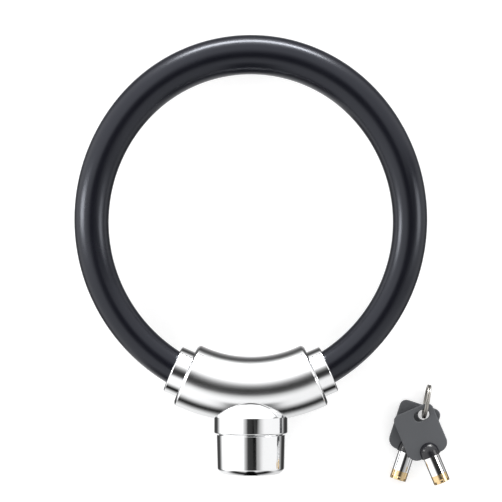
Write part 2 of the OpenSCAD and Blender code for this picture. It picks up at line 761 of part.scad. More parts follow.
module upper_key_bow() {
    color([0.37, 0.37, 0.39]) place_key(upper_slot, upper_turn, upper_key_z) key_bow();
}

module lower_key_tube() {
    color([0.8, 0.8, 0.8]) place_key(lower_slot, lower_turn, lower_key_z) key_tube();
}

module lower_key_bow() {
    color([0.4, 0.4, 0.42]) place_key(lower_slot, lower_turn, lower_key_z) key_bow();
}

module key_ring() {
    // A split ring stands on edge through the two slots: two flat turns, with a split in each
    color([0.75, 0.75, 0.74])
        translate([ring_foot.x, ring_foot.y, key_ring_z])
            rotate([0, 0, -key_ring_lean])
                translate([0, key_ring_r - ring_play, 0])
                    rotate([0, 90, 0]) difference() {
                        rotate_extrude() translate([key_ring_r - key_ring_t / 2, -key_ring_w / 2])
                            square([key_ring_t, key_ring_w]);
                        rotate_extrude() for (x = [-key_ring_t / 2, key_ring_t / 2])
                            translate([key_ring_r + x, 0]) circle(r = key_ring_t / 8);
                        for (turn = [-1, 1]) rotate([0, 0, ring_split_turn * turn])
                            translate([key_ring_r - key_ring_t, -ring_split / 2, turn > 0 ? 0 : -key_ring_w])
                                cube([2 * key_ring_t, ring_split, key_ring_w]);
                    }
}

head();
ferrule(-1);  // fixed_ferrule
fixed_stud();
fixed_stud_pin();
jacket(0);  // jacket_1
jacket(1);  // jacket_2
jacket(2);  // jacket_3
jacket(3);  // jacket_4
jacket(4);  // jacket_5
rope(0);  // rope_1
rope(1);  // rope_2
rope(2);  // rope_3
rope(3);  // rope_4
rope(4);  // rope_5
ferrule(1);  // free_ferrule
free_stud();
locking_bolt();
lock_barrel();
barrel_pin();
pin_housing();
rotor();
key_pins();
driver_pins();
driver_springs();
spring_cover();
crank();
crank_pin();
key_ring();
upper_key_tube();
upper_key_bow();
lower_key_tube();
lower_key_bow();
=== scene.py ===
# A mini ring cable lock and its two keys. A stiff jacketed cable runs in a ring into a curved chromed
# head, whose barrel holds a tubular key cylinder. The keys lie beside it on a split ring.

import math

import bpy
import numpy as np
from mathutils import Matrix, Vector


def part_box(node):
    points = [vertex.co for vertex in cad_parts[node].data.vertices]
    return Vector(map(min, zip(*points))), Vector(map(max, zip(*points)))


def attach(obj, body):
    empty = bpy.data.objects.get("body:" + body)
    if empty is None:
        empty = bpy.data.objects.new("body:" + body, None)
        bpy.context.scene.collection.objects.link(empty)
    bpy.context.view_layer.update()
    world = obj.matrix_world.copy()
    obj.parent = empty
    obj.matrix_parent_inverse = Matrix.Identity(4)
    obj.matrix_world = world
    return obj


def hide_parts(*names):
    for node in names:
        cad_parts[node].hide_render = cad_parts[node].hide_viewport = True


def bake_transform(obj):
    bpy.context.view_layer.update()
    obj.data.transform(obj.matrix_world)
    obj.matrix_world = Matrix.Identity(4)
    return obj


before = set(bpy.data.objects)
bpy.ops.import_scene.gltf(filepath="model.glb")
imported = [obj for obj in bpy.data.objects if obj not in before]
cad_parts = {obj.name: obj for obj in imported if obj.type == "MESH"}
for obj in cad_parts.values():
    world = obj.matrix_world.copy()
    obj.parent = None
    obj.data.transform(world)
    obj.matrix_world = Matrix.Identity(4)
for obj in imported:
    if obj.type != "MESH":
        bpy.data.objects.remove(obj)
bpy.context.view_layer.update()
MM = 0.001


# ---- Camera. It looks straight down on the lock, which lies flat, from a little over a metre up.
picture_width = 220.9 * MM
camera_height = 1150 * MM
camera_data = bpy.data.cameras.new("camera")
camera_data.sensor_width = 36
camera_data.lens = camera_data.sensor_width * camera_height / picture_width
camera_data.clip_start = 0.05
camera_data.clip_end = 20
camera = bpy.data.objects.new("camera", camera_data)
camera.location = (0.1 * MM, -12.8 * MM, camera_height)
bpy.context.scene.collection.objects.link(camera)
bpy.context.scene.camera = camera
bpy.context.scene.view_settings.view_transform = "Standard"


# ---- Floor and studio. A plain white table, an even white tent for soft light, and dark gaps between
# the tent's panels, which the chrome shows as crisp bands. Three lamps give the jacket its shine.
def node_tree(owner):
    """An empty node tree on a material or world, with a function that adds a node with its settings."""
    owner.use_nodes = True
    tree = owner.node_tree
    tree.nodes.clear()

    def add(kind, inputs=None, **settings):
        """A node of this kind. Each input is linked if it is a socket, and else set to the value."""
        node = tree.nodes.new(kind)
        for key, value in settings.items():
            setattr(node, key, value)
        for key, value in (inputs or {}).items():
            if isinstance(value, bpy.types.NodeSocket):
                tree.links.new(value, node.inputs[key])
            else:
                node.inputs[key].default_value = value
        return node

    return tree, add


def maths(add, operation, a, b=0.0):
    """The output of one maths node: the operation on a, or on a and b."""
    return add("ShaderNodeMath", {0: a, 1: b}, operation=operation).outputs[0]


floor_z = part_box("head")[0].z
floor_half, floor_glow = 3.0, 0.45
floor_mesh = bpy.data.meshes.new("floor")
floor_mesh.from_pydata(
    [(x, y, floor_z) for x, y in ((-floor_half, -floor_half), (floor_half, -floor_half),
                                  (floor_half, floor_half), (-floor_half, floor_half))],
    [], [(0, 1, 2, 3)])
floor = bpy.data.objects.new("floor", floor_mesh)
bpy.context.scene.collection.objects.link(floor)
floor.visible_glossy = False
floor_paint = bpy.data.materials.new("white_table")
tree, add = node_tree(floor_paint)
light_path = add("ShaderNodeLightPath")
matt_white = add("ShaderNodeBsdfDiffuse", {"Color": (0.8, 0.8, 0.8, 1)})
seen = maths(add, "MAXIMUM", light_path.outputs["Is Camera Ray"], maths(
    add, "MAXIMUM", light_path.outputs["Is Glossy Ray"], light_path.outputs["Is Transmission Ray"]))
lift = add("ShaderNodeEmission", {"Color": (1, 1, 1, 1),
                                  "Strength": maths(add, "MULTIPLY", seen, floor_glow)})
both = add("ShaderNodeAddShader", {0: matt_white.outputs[0], 1: lift.outputs[0]})
add("ShaderNodeOutputMaterial", {"Surface": both.outputs[0]})
floor_mesh.materials.append(floor_paint)

world = bpy.data.worlds.new("tent")
bpy.context.scene.world = world
tree, add = node_tree(world)
direction = add("ShaderNodeTexCoord").outputs["Generated"]
axes = add("ShaderNodeSeparateXYZ", {0: direction}).outputs
from_top = maths(add, "MULTIPLY", maths(add, "ARCCOSINE", axes[2]), 180 / math.pi)
flat = maths(add, "MAXIMUM", maths(add, "SQRT", maths(
    add, "ADD", maths(add, "MULTIPLY", axes[0], axes[0]), maths(add, "MULTIPLY", axes[1], axes[1]))), 1e-4)
across = maths(add, "MULTIPLY", from_top, maths(add, "DIVIDE", axes[0], flat))
up_page = maths(add, "MULTIPLY", from_top, maths(add, "DIVIDE", axes[1], flat))


def soft_step(value, start, end):
    """0 up to start and 1 from end, with 3 w^2 - 2 w^3 between, where w is the share of the way."""
    return add("ShaderNodeMapRange", {0: value, 1: start, 2: end, 3: 0.0, 4: 1.0},
               interpolation_type="SMOOTHSTEP").outputs[0]


def between(value, start, full, leave, end):
    """0 up to start, 1 from full to leave, 0 beyond end, with soft slopes between."""
    return maths(add, "MULTIPLY", soft_step(value, start, full), soft_step(value, end, leave))


def dim(light, mask, depth):
    """Lets only 1 - depth of the light through where the mask is 1."""
    return maths(add, "MULTIPLY", light, maths(add, "SUBTRACT", 1.0, maths(add, "MULTIPLY", mask, depth)))


def card(light, left, right, low, high, depth, turn):
    """Dims a patch of the tent. Each edge is (outside, inside) in degrees from straight up: left and right
    toward +X, low and high toward +Y, both turned by turn degrees."""
    c, k = math.cos(math.radians(turn)), math.sin(math.radians(turn))
    x = maths(add, "ADD", maths(add, "MULTIPLY", across, c), maths(add, "MULTIPLY", up_page, k))
    y = maths(add, "SUBTRACT", maths(add, "MULTIPLY", up_page, c), maths(add, "MULTIPLY", across, k))
    return dim(light, maths(add, "MULTIPLY", between(x, *left, *right), between(y, *low, *high)), depth)


to_right, to_back = (maths(add, "DIVIDE", axes[n], flat) for n in (0, 1))
to_side = maths(add, "ABSOLUTE", to_right)
# The tent is a little dimmer below the horizon, and brighter at the back and on the left than opposite them.
tent_level, tent_fall, tent_slope = 1.25, 0.2, 0.2
tent = maths(add, "SUBTRACT", tent_level, maths(add, "MULTIPLY", soft_step(from_top, 92, 125), tent_fall))
tent = maths(add, "ADD", tent, maths(add, "MULTIPLY", maths(add, "SUBTRACT", to_back, to_right), tent_slope))
# Gaps low down in the tent, each as its place round the horizon, degrees from straight up, and depth. They
# are behind, in front, dead ahead (this one reaches higher), and at each side.
behind, in_front = soft_step(to_back, 0.45, 0.75), soft_step(to_back, -0.72, -0.84)
dead_ahead = maths(add, "MULTIPLY", soft_step(to_side, 0.2, 0.12), soft_step(to_back, -0.5, -0.8))
for mask, rise, depth in (
        (behind, (92, 122, 127, 195), 0.94),
        (in_front, (64, 94, 99, 131), 0.985),
        (dead_ahead, (47, 57, 128, 140), 0.985),
        (soft_step(to_side, 0.62, 0.8), (105, 132, 150, 168), 0.95)):
    tent = dim(tent, maths(add, "MULTIPLY", mask, between(from_top, *rise)), depth)
# Cards overhead: a grey one, a dark one across it, a faint one behind, and three along the keys' tubes.
for left, right, low, high, depth, turn in (
        ((-31, -15), (18, 46), (-24, -14), (0, 8), 0.64, 0),
        ((-16.5, -8.5), (10, 18), (-40, -6), (5, 36), 0.9, 0),
        ((-20, -12), (12, 20), (40, 48), (52, 60), 0.16, 0),
        ((6, 14), (56, 150), (-15, -10), (-2.5, -0.5), 0.96, 23),
        ((4, 10), (20, 30), (-4.8, -3.6), (-2.0, -0.8), 0.93, -18),
        ((24, 32), (80, 110), (-9, -6), (0, 3), 0.45, -18)):
    tent = card(tent, left, right, low, high, depth, turn)
light_path = add("ShaderNodeLightPath")
shown = maths(add, "MAXIMUM", light_path.outputs["Is Camera Ray"], light_path.outputs["Is Transmission Ray"])
even = 0.82
light = add("ShaderNodeMix", {0: light_path.outputs["Is Glossy Ray"], 2: even, 3: tent}).outputs[0]
light = add("ShaderNodeMix", {0: shown, 2: light, 3: 1.0}).outputs[0]
background = add("ShaderNodeBackground", {"Color": (1, 1, 1, 1), "Strength": light})
add("ShaderNodeOutputWorld", {"Surface": background.outputs[0]})


def lamp(name, place, away, size, power):
    """A rectangular lamp that faces the ring's middle from away metres. place is degrees from straight up, as
    on the tent."""
    data = bpy.data.lights.new(name, "AREA")
    data.shape = "RECTANGLE"
    data.size, data.size_y = size
    data.energy = power
    obj = bpy.data.objects.new(name, data)
    tilt, turn = math.radians(math.hypot(*place)), math.atan2(place[1], place[0])
    obj.location = (away * math.sin(tilt) * math.cos(turn), away * math.sin(tilt) * math.sin(turn),
                    away * math.cos(tilt))
    obj.rotation_euler = (tilt, 0, turn + math.pi / 2)
    bpy.context.scene.collection.objects.link(obj)


lamp("left_lamp", (-67, 5), 0.4, (0.08, 0.15), 0.47)
lamp("right_lamp", (62, 3), 0.8, (0.2, 0.3), 0.85)
lamp("back_lamp", (0, 84), 2.0, (1.8, 0.4), 60.0)


# ---- Cable jacket. One black PVC tube over a steel rope, moulded in a ring and a little fuller at its
# crown. Four lengths, each over one bend of the rope, ride from one stretch of the cable to the next.
crown_r, side_r, crown_half, crown_rise = 68.2, 75.6, 48.4, 5.4
side_x = (crown_r - side_r) * math.sin(math.radians(crown_half))
side_y = crown_rise + (crown_r - side_r) * math.cos(math.radians(crown_half))
socket_tilt = math.radians(23.5)
jacket_thin, jacket_full, jacket_fall = 14.7, 17.4, 150


def ring_point(a):
    """The cable's line: for each angle of its outward normal, a point on the crown's arc within crown_half
    degrees of the crown, and on the side arcs beyond it."""
    a = np.asarray(a, float)
    crown = np.abs(a - 90) < crown_half
    radius = np.where(crown, crown_r, side_r)
    cx = np.where(crown, 0.0, np.where(a > 90, -side_x, side_x))
    cy = np.where(crown, crown_rise, side_y)
    t = np.radians(a)
    return np.stack([cx + radius * np.cos(t), cy + radius * np.sin(t), 0 * t], -1)


def jacket_radius(a):
    """Half the jacket's thickness. It falls from the crown to jacket_fall degrees on either side of it, as a
    raised cosine to the power 1.6."""
    fullness = (1 + np.cos(np.radians(180 * np.minimum(1, np.abs(a - 90) / jacket_fall)))) / 2
    return (jacket_thin + (jacket_full - jacket_thin) * fullness ** 1.6) / 2


def skin(name, rows, ends="poles", normals=None, crease=30):
    """A mesh from rows of points in millimetres. Each row closes on itself, and the first and last rows are
    joined in a ring, or each is drawn together in a pole. Faces are turned to point outwards. Shading is
    smooth except over edges sharper than crease; normals, where given, hold on all but the poles' faces."""
    count, around = rows.shape[:2]
    points = rows.reshape(-1, 3)
    i, j = np.meshgrid(np.arange(count if ends == "ring" else count - 1), np.arange(around), indexing="ij")
    a, b = i * around + j, i * around + (j + 1) % around
    c, d = (i + 1) % count * around + (j + 1) % around, (i + 1) % count * around + j
    quads = np.stack([a, b, c, d], -1).reshape(-1, 4)
    tris = np.empty((0, 3), int)
    if ends == "poles":
        points = np.vstack([points, rows[0].mean(0), rows[-1].mean(0)])
        k = np.arange(around)
        first, last = len(points) - 2, (count - 1) * around
        tris = np.vstack([np.stack([(k + 1) % around, k, 0 * k + first], -1),
                          np.stack([last + k, last + (k + 1) % around, 0 * k + first + 1], -1)])
    solid = np.vstack([quads[:, [0, 1, 2]], quads[:, [0, 2, 3]], tris])
    corner = [points[solid[:, n]] - points.mean(0) for n in range(3)]
    if np.einsum("ij,ij->i", corner[0], np.cross(corner[1], corner[2])).sum() < 0:
        quads, tris = quads[:, ::-1], tris[:, ::-1]
    mesh = bpy.data.meshes.new(name)
    mesh.vertices.add(len(points))
    mesh.vertices.foreach_set("co", (points * MM).ravel())
    corners = np.concatenate([quads.ravel(), tris.ravel()])
    mesh.loops.add(len(corners))
    mesh.loops.foreach_set("vertex_index", corners)
    mesh.polygons.add(len(quads) + len(tris))
    mesh.polygons.foreach_set("loop_start", np.concatenate(
        [np.arange(len(quads)) * 4, quads.size + np.arange(len(tris)) * 3]))
    mesh.polygons.foreach_set("use_smooth", np.ones(len(quads) + len(tris), bool))
    mesh.update(calc_edges=True)
    obj = bpy.data.objects.new(name, mesh)
    bpy.context.scene.collection.objects.link(obj)
    mesh.set_sharp_from_angle(angle=math.radians(crease))
    if normals is None:
        even_shading = obj.modifiers.new("even_shading", "WEIGHTED_NORMAL")
        even_shading.weight = 90
        even_shading.keep_sharp = True
    else:
        p = points[tris]
        flat = np.cross(p[:, 1] - p[:, 0], p[:, 2] - p[:, 0])
        flat /= np.linalg.norm(flat, axis=1)[:, None]
        mesh.normals_split_custom_set(
            np.vstack([normals.reshape(-1, 3)[quads.ravel()], np.repeat(flat, 3, 0)]))
    return obj


def tube_rows(centre, along, side, radius, around):
    """Circles on a line: point = centre + radius * (cos t * side + sin t * (along x side)), with t from 0 to
    a full turn. Also gives their outward directions. radius may differ from point to point of a circle."""
    radius = np.asarray(radius, float)
    count = len(radius)
    centre, along, side = (np.broadcast_to(np.asarray(v, float), (count, 3)) for v in (centre, along, side))
    other = np.cross(along, side)
    t = np.arange(around) / around * 2 * np.pi if np.isscalar(around) else around
    out = np.cos(t)[None, :, None] * side[:, None] + np.sin(t)[None, :, None] * other[:, None]
    radius = np.broadcast_to(radius.reshape(count, -1), (count, len(t)))
    return centre[:, None] + radius[..., None] * out, out


jacket_black = bpy.data.materials.new("black_jacket")
tree, add = node_tree(jacket_black)
place = add("ShaderNodeTexCoord").outputs["Object"]
pebble = add("ShaderNodeTexNoise", {"Vector": place, "Scale": 2600.0, "Detail": 2.0, "Roughness": 0.5})
drift = add("ShaderNodeTexNoise", {"Vector": place, "Scale": 34.0, "Detail": 3.0, "Roughness": 0.6})
gloss = add("ShaderNodeMapRange", {0: drift.outputs[0], 1: 0.3, 2: 0.7, 3: 0.23, 4: 0.28}).outputs[0]
grain = add("ShaderNodeBump", {"Height": pebble.outputs[0], "Strength": 0.1, "Distance": 0.00004})
tone = add("ShaderNodeMix", {0: drift.outputs[0], 6: (0.0026, 0.0027, 0.006, 1),
                             7: (0.0036, 0.0037, 0.0075, 1)}, data_type="RGBA").outputs[2]
pvc = add("ShaderNodeBsdfPrincipled", {"Base Color": tone, "Roughness": gloss, "Specular IOR Level": 0.48,
                                       "Specular Tint": (0.86, 0.9, 1, 1), "Sheen Weight": 0.1,
                                       "Sheen Roughness": 0.4, "Sheen Tint": (0.85, 0.9, 1, 1),
                                       "Normal": grain.outputs[0]})
add("ShaderNodeOutputMaterial", {"Surface": pvc.outputs[0]})

# The jacket stops jacket_stop mm short of each end of the cable's line, which is in a ferrule. Its spans meet
# at seams, and each bends from reach degrees before its place in bends to reach degrees after it.
socket_angle, jacket_stop = 66.5, 3.45
jacket_end = socket_angle - math.degrees(jacket_stop / side_r)
seams = [180 + jacket_end, 178.75, 115, 49.5, -jacket_end]
around_jacket = 72
within_solid, reach = 0.998, 27.5
for k, nodes in enumerate((("jacket_1", "jacket_2"), ("jacket_3",), ("jacket_4",), ("jacket_5",))):
    a = np.linspace(seams[k], seams[k + 1], 2 + int(abs(seams[k] - seams[k + 1])))
    t = np.radians(a)
    normal = np.stack([np.cos(t), np.sin(t), 0 * t], -1)
    line = np.stack([np.sin(t), -np.cos(t), 0 * t], -1)
    rows, out = tube_rows(ring_point(a), line, normal, within_solid * jacket_radius(a), around_jacket)
    span = skin(f"jacket_span_{k + 1}", rows, normals=out)
    span.data.materials.append(jacket_black)
    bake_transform(span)
    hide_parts(*nodes)


# ---- Head. A curved tube of zinc, die cast with its round boss and dome, polished and chrome plated. Its
# ends are rounded over, and each holds a stepped round socket: wide for a ferrule, then narrow for a stud.
# Lengths named _s run along a socket, outward, from where the cable's curve ends in it.
head_bend_r, head_half, head_straight, rim_proud = 65.0, 14.4, 3.0, 0.05
end_eases = ((0.9, 38), (3.2, 60), (0.9, 90))
socket_way = np.array((math.cos(socket_tilt), math.sin(socket_tilt), 0))
socket_out = np.array((math.sin(socket_tilt), -math.cos(socket_tilt), 0))
socket_o = np.array((side_x, side_y, 0)) + side_r * socket_out
head_c_y = socket_o[1] - socket_o[0] * math.tan(socket_tilt) + head_bend_r / math.cos(socket_tilt)
arc_end_s = float((np.array((head_bend_r * math.sin(socket_tilt),
                             head_c_y - head_bend_r * math.cos(socket_tilt), 0)) - socket_o) @ socket_way)
head_end_s = arc_end_s + head_straight
stud_hole, ferrule_hole, ferrule_depth = 5.05, 10.75, 4.0
mirrored = np.array((-1, 1, 1))


def rounding(centre_s, centre_r, radius, start, end, steps=6):
    """A quarter circle or less of a profile, from angle start to end in degrees: s = centre + radius cos,
    r = centre + radius sin."""
    t = np.radians(np.linspace(start, end, steps + 1))
    return np.stack([centre_s + radius * np.cos(t), centre_r + radius * np.sin(t)], -1)


def eased(arcs, steps=6):
    """An edge that turns from 0 to 90 degrees in arcs, each (radius, angle at its end). Along each arc the
    way on grows as radius * sin and the drop as -radius * cos, both from the edge's first point."""
    parts, turned = [np.zeros((1, 2))], 0
    for radius, end in arcs:
        t = np.radians(np.linspace(turned, end, steps + 1))
        swept = radius * np.stack([np.sin(t) - np.sin(t[0]), np.cos(t[0]) - np.cos(t)], -1)
        parts.append(parts[-1][-1] + swept[1:])
        turned = end
    return np.vstack(parts)


def chrome_paint(name, smooth, dull):
    """Bright plating: almost a mirror, a little softer where it has been handled, with hairline polishing."""
    paint = bpy.data.materials.new(name)
    tree, add = node_tree(paint)
    place = add("ShaderNodeTexCoord").outputs["Object"]
    worn = add("ShaderNodeTexNoise", {"Vector": place, "Scale": 60.0, "Detail": 4.0,
                                      "Roughness": 0.6}).outputs[0]
    hairs = add("ShaderNodeTexNoise", {"Vector": place, "Scale": 900.0, "Detail": 2.0}).outputs[0]
    polish = add("ShaderNodeMapRange", {0: worn, 1: 0.35, 2: 0.7, 3: smooth, 4: dull}).outputs[0]
    tone = add("ShaderNodeMix", {0: worn, 6: (0.93, 0.935, 0.94, 1), 7: (0.88, 0.885, 0.895, 1)},
               data_type="RGBA").outputs[2]
    ripple = add("ShaderNodeBump", {"Height": hairs, "Strength": 0.03, "Distance": 0.00002}).outputs[0]
    metal = add("ShaderNodeBsdfPrincipled", {"Base Color": tone, "Metallic": 1.0, "Roughness": polish,
                                             "Normal": ripple})
    add("ShaderNodeOutputMaterial", {"Surface": metal.outputs[0]})
    return paint


chrome = chrome_paint("chrome_plating", 0.05, 0.09)
cast_chrome = chrome_paint("chrome_on_casting", 0.15, 0.18)


def head_end(hole_end_s, slot=()):
    """The profile of one end as (s, r): out along the narrow hole and past any slot in it, over the step and
    up the wide hole to the mouth, then over the rounded rim to the tube's outside."""
    step_s = head_end_s - ferrule_depth
    ease = eased(end_eases)
    rim = (head_end_s, head_half + rim_proud) + (ease - (ease[-1, 0], 0)) * (1, -1)
    return np.vstack([
        [(hole_end_s, stud_hole - 1), (hole_end_s, stud_hole),
         *((s, stud_hole) for s in slot for _ in range(2)),
         (step_s - 0.3, stud_hole), (step_s, stud_hole + 0.3),
         (step_s, ferrule_hole), (head_end_s - 0.2, ferrule_hole), (head_end_s, ferrule_hole + 0.2)],
        rim[::-1]])


bolt_slot, slot_side, slot_inward, wall_left = (-21.79, -18.69), 8.35, 7.65, 0.4
free_hole_end_s, fixed_hole_end_s = -25.79, -11.65
free_end = head_end(free_hole_end_s, bolt_slot)
fixed_end = head_end(fixed_hole_end_s)[::-1]
arc = 1.5 * np.pi + np.linspace(socket_tilt, -socket_tilt, 40)
arc_centres = np.stack([head_bend_r * np.cos(arc), head_c_y + head_bend_r * np.sin(arc), 0 * arc], -1)
centres = np.vstack([socket_o + free_end[:, :1] * socket_way, arc_centres,
                     (socket_o + fixed_end[:, :1] * socket_way) * mirrored])
along = np.vstack([np.tile(-socket_way, (len(free_end), 1)),
                   np.stack([np.sin(arc), -np.cos(arc), 0 * arc], -1),
                   np.tile(socket_way * mirrored, (len(fixed_end), 1))])
side = np.vstack([np.tile(socket_out, (len(free_end), 1)), np.stack([np.cos(arc), np.sin(arc), 0 * arc], -1),
                  np.tile(socket_out * mirrored, (len(fixed_end), 1))])
around_head = 128
radius = np.concatenate([free_end[:, 1], np.full(len(arc), head_half), fixed_end[:, 1]])
radius = np.repeat(radius[:, None], around_head, 1)
# The bolt's slot is a box across the hole, slot_side up and down and slot_inward toward the ring's middle.
# Outward it stops wall_left short of the tube's outside, a circle whose middle is off the hole's line by off.
# It takes up the profile's two middle points of the four that stand at its ends.
t = np.arange(around_head) / around_head * 2 * np.pi
off = (arc_end_s - sum(bolt_slot) / 2) ** 2 / (2 * head_bend_r)
inward = np.where(np.cos(t) < -1e-3, slot_inward / np.maximum(-np.cos(t), 1e-3), np.inf)
outside = np.sqrt(head_half ** 2 - (off * np.sin(t)) ** 2) - off * np.cos(t) - wall_left
up_and_down = slot_side / np.maximum(np.abs(np.sin(t)), 1e-3)
slot_rows = slice(3, 5)
radius[slot_rows] = np.minimum(np.minimum(up_and_down, inward), outside)
head_tube = skin("head_tube", tube_rows(centres, along, side, radius, around_head)[0])

shoulder_y, boss_foot_y, boss_half, boss_bore, dome_r = -85.666, -92.966, 16.3, 13.0, 16.9
dome_y = shoulder_y - math.sqrt(dome_r ** 2 - boss_half ** 2)
dome_angle = math.degrees(math.asin(boss_half / dome_r))
dome = rounding(dome_y, 0, dome_r, 1.5, dome_angle, 96)
foot_round, around_boss = 0.8, 320
boss = np.vstack([dome, [(shoulder_y - 0.1, boss_half)],
                  rounding(boss_foot_y + foot_round, boss_half - foot_round, foot_round, 90, 180, 6),
                  [(boss_foot_y, boss_bore)]])
rows = tube_rows(boss[:, :1] * (0, 1, 0), (0, -1, 0), (1, 0, 0), boss[:, 1], around_boss)[0]
# The dome meets the tube in a fillet. Where step, its height over the tube, is within weld, it stands at the
# larger of the two heights plus (weld - |step|)^2 / (4 weld), less sunk where the tube is the higher one.
# Other points less than inside high move down to the tube's outer curve, just under its surface.
inside, weld, sunk = 13.6, 1.1, 0.006
high = np.abs(rows[..., 2])
from_bend = np.hypot(rows[..., 0], rows[..., 1] - head_c_y) - head_bend_r
tube_high = np.sqrt(np.maximum(head_half ** 2 - from_bend ** 2, 0))
step = high - tube_high
on_dome = (np.arange(len(rows)) < len(dome))[:, None] & (step > -weld) & (tube_high > 0)
fillet = np.maximum(weld - np.abs(step), 0) ** 2 / (4 * weld)
filled = np.maximum(high, tube_high) + fillet - sunk * (step < 0)
under = (high < inside) & ~on_dome
rows[..., 2] = np.where(on_dome, np.sign(rows[..., 2]) * filled, rows[..., 2])
tube_low = head_c_y - np.sqrt((head_bend_r + np.sqrt(np.maximum(inside ** 2 - rows[..., 2] ** 2, 0))) ** 2
                              - rows[..., 0] ** 2)
rows[..., 1] = np.where(under, np.minimum(rows[..., 1], tube_low), rows[..., 1])
head_boss = skin("head_boss", rows, crease=14)
for piece, plating in ((head_tube, cast_chrome), (head_boss, chrome)):
    piece.data.materials.append(plating)
    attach(piece, "lock_head")
    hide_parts("head")


# ---- Ferrules. A turned and chromed steel cup closes each end of the jacket and fits the head's socket.
# Its bore follows the cable's curve, so it sits a little off the cup's own middle at the mouth.
ferrule_half, ferrule_back_s, mouth_s, cup_floor_s = 10.65, 0.5, head_end_s + 6.3, 3.0
back_hole, rope_hole, jacket_hole, around_ferrule = 5.0, 4.0, 7.55, 112
lip = eased(((0.35, 40), (1.6, 60), (0.35, 90)))
cup_outside = np.vstack([
    [(ferrule_back_s, back_hole), (ferrule_back_s, ferrule_half - 0.3), (ferrule_back_s + 0.3, ferrule_half)],
    (mouth_s, ferrule_half) + (lip - (lip[-1, 0], 0)) * (1, -1)])
cup_bore = np.array([
    (mouth_s, jacket_hole + 0.35), (mouth_s - 0.1, jacket_hole + 0.1), (mouth_s - 0.35, jacket_hole),
    (mouth_s - 3.5, jacket_hole), (cup_floor_s, jacket_hole), (cup_floor_s, rope_hole)])
cup = np.vstack([cup_outside, cup_bore])
in_bore = np.arange(len(cup)) >= len(cup_outside)
shift = np.where(in_bore, side_r - np.sqrt(side_r ** 2 - cup[:, 0] ** 2), 0)
for name, body, flip in (("free_ferrule", "free_end", np.ones(3)), ("fixed_ferrule", "lock_head", mirrored)):
    centre = (socket_o + cup[:, :1] * socket_way - shift[:, None] * socket_out) * flip
    rows = tube_rows(centre, socket_way * flip, socket_out * flip, cup[:, 1], around_ferrule)[0]
    piece = skin(name + "_cup", rows)
    piece.data.materials.append(chrome)
    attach(piece, body)
    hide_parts(name)


# ---- Barrel. A chromed shell under the boss, slightly tapered, with a rounded lower edge. Its end wall has
# the round keyway with a notch for the key's nib, and its open spigot goes up inside the boss.
barrel_y, face_y = -93.466, -110.666
neck_half, top_half, foot_half, top_round = 14.3, 15.15, 14.8, 0.25
hole_r, notch_half, notch_top, hole_depth, hole_edge = 4.0, 0.85, 4.9, 2.0, 0.2
spigot_y, spigot_half, wall_y = -88.416, 9.05, boss_foot_y + 0.25
foot = eased(((0.9, 34), (7.0, 56), (0.9, 90)))
shell = np.vstack([
    [(spigot_y, spigot_half), (spigot_y, boss_bore), (wall_y, boss_bore), (wall_y, neck_half),
     (barrel_y, neck_half), (barrel_y, top_half - top_round)],
    rounding(barrel_y - top_round, top_half - top_round, top_round, 0, 90, 4),
    (face_y, foot_half) - (foot - (foot[-1, 0], 0)),
    [(face_y, hole_r + 2), (face_y, hole_r + hole_edge), (face_y + hole_edge, hole_r),
     (face_y + hole_depth, hole_r), (face_y + hole_depth, spigot_half)]])
# The hole's outline is hole_r about its middle but for the notch, whose corners are at notch_top_at and
# notch_foot_at degrees off the notch's middle. A point stands at each, and one more a little way past.
notch_top_at, notch_foot_at, hair, around_barrel = 9.84, 12.27, 0.01, 128
corners = np.radians([9.7, notch_top_at, notch_foot_at, 12.4])
t = np.concatenate([np.linspace(0, 2 * np.pi, around_barrel, endpoint=False),
                    np.pi / 2 - corners, np.pi / 2 + corners])
t = np.unique(np.round(t, 6))
off = np.abs(t - np.pi / 2)
notch = np.where(off < math.radians(notch_top_at + hair), notch_top / np.cos(off),
                 notch_half / np.maximum(np.sin(off), 1e-3))
notch = np.where(off < math.radians(notch_foot_at + hair), np.maximum(notch, hole_r), hole_r)
radius = np.repeat(shell[:, 1:], len(t), 1)
edge = radius < hole_r + 2 * hole_edge
radius = np.where(edge, notch + radius - hole_r, radius)
rows = tube_rows(shell[:, :1] * (0, 1, 0), (0, -1, 0), (1, 0, 0), radius, t)[0]
barrel = skin("barrel_shell", rows, ends="ring")
barrel.data.materials.append(chrome)
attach(barrel, "lock_head")
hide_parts("lock_barrel")


# ---- Key cylinder, studs, bolt and rope. Turned brass and steel, mostly out of sight: the rotor's face
# shows in the keyway, and the free stud, its groove and the socket's bolt show when the ring is open.
def turned_metal(name, light, dark, rough, scale):
    """Machined metal: fine tool marks run round it as a bump, with faint stains and a soft sheen."""
    paint = bpy.data.materials.new(name)
    tree, add = node_tree(paint)
    place = add("ShaderNodeTexCoord").outputs["Object"]
    stain = add("ShaderNodeTexNoise", {"Vector": place, "Scale": 160.0, "Detail": 4.0,
                                       "Roughness": 0.6}).outputs[0]
    marks = add("ShaderNodeTexNoise", {"Vector": place, "Scale": scale, "Detail": 3.0,
                                       "Roughness": 0.7}).outputs[0]
    tone = add("ShaderNodeMix", {0: add("ShaderNodeMapRange", {0: stain, 1: 0.3, 2: 0.7}).outputs[0],
                                 6: (*light, 1), 7: (*dark, 1)}, data_type="RGBA").outputs[2]
    sheen = add("ShaderNodeMapRange", {0: stain, 1: 0.3, 2: 0.7, 3: rough, 4: rough + 0.12}).outputs[0]
    groove = add("ShaderNodeBump", {"Height": marks, "Strength": 0.2, "Distance": 0.00003}).outputs[0]
    metal = add("ShaderNodeBsdfPrincipled", {"Base Color": tone, "Metallic": 1.0, "Roughness": sheen,
                                             "Normal": groove})
    add("ShaderNodeOutputMaterial", {"Surface": metal.outputs[0]})
    return paint


